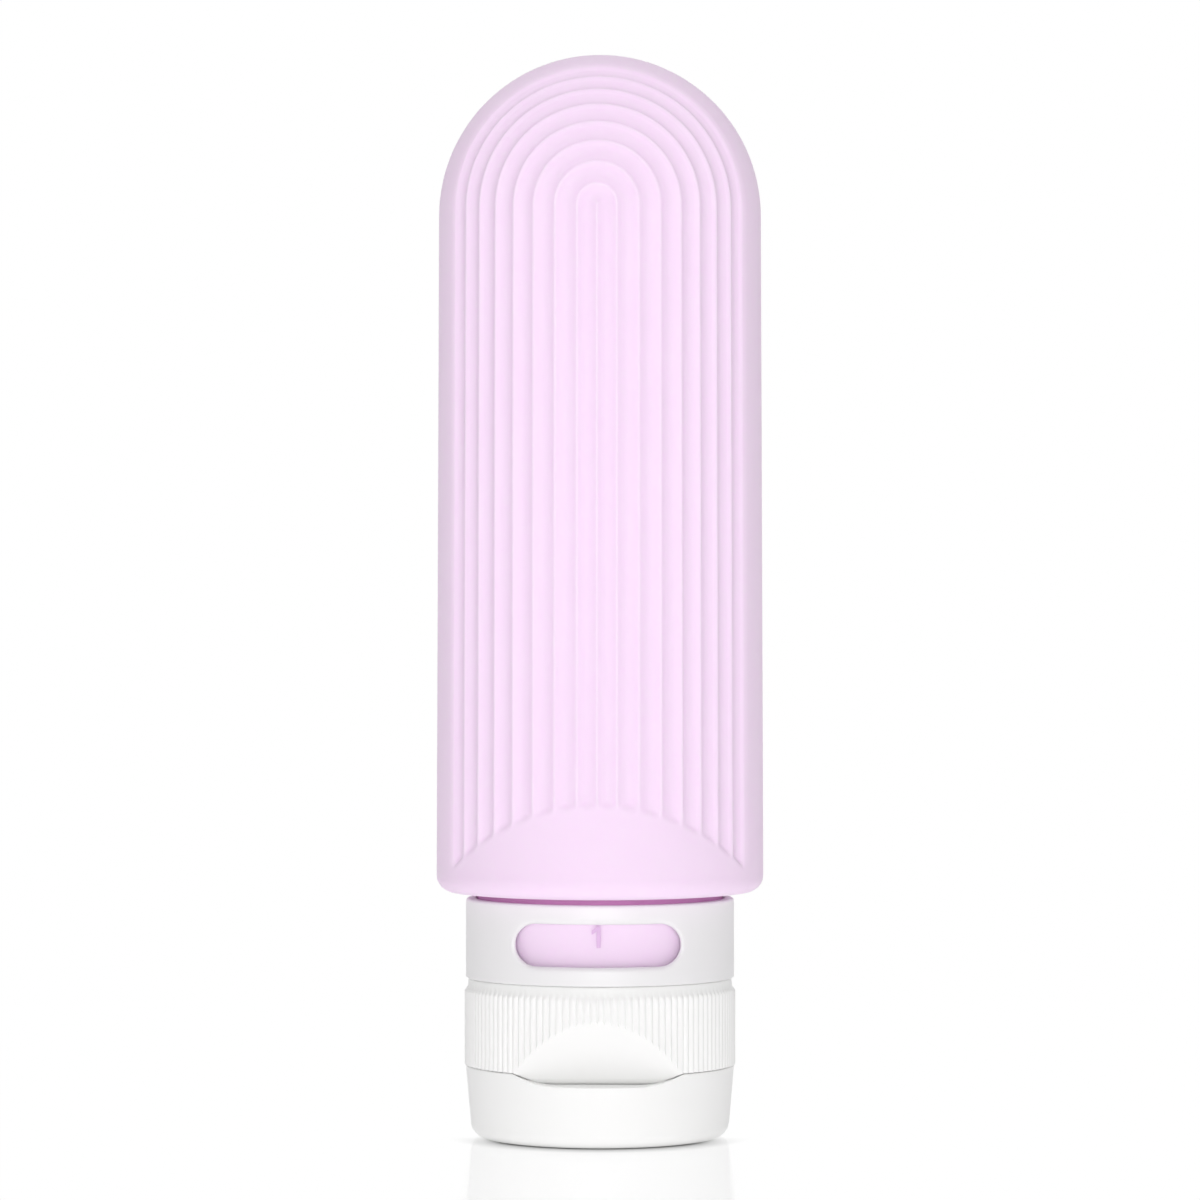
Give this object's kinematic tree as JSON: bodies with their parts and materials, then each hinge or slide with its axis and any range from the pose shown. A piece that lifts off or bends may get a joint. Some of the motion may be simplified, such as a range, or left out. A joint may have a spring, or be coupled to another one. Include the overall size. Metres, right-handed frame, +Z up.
{
  "type": "travel squeeze bottle",
  "caption": "Soft silicone travel bottle that stands on its flip lid, with a ribbed body, a turning label collar and a screw cap.",
  "frame": {"origin": "centre of the flat lid face that the bottle stands on", "axes": "+Z up the bottle's axis towards its rounded base, -Y to the front with the collar's window and the thumb scoop, +X to the right seen from the front"},
  "size_m": [0.0408, 0.0408, 0.1349],
  "materials": {
    "silicone": "matte translucent",
    "neck_plastic": "moulded",
    "collar_plastic": "satin moulded",
    "cap_plastic": "satin moulded",
    "seal": "matte"
  },
  "bodies": {
    "lid": {"flip_lid": "cap_plastic"},
    "cap": {"screw_cap": "cap_plastic", "slit_valve": "seal", "valve_retainer": "cap_plastic"},
    "gasket": {"neck_gasket": "seal"},
    "bottle": {"squeeze_body": "silicone", "neck_sleeve": "neck_plastic"},
    "collar": {"label_collar": "collar_plastic"}
  },
  "joints": [
    {"name": "lid_hinge", "type": "hinge", "parent": "lid", "child": "cap", "pos_m": [0, 0.0172, 0.009], "axis": [-1, 0, 0], "range_deg": [0, 90]},
    {"name": "cap_lift", "type": "slide", "parent": "cap", "child": "gasket", "axis": [0, 0, 1], "range_m": [0, 0.0045]},
    {"name": "cap_unscrew", "type": "hinge", "parent": "gasket", "child": "bottle", "pos_m": [0, 0, 0.0144], "axis": [0, 0, 1], "range_deg": [0, 540]},
    {"name": "collar_turn", "type": "hinge", "parent": "bottle", "child": "collar", "pos_m": [0, 0, 0.0248], "axis": [0, 0, 1], "continuous": true}
  ],
  "couplings": [
    {"joint": "cap_lift", "follows": "cap_unscrew", "m_per_rad": 0.00047746}
  ]
}
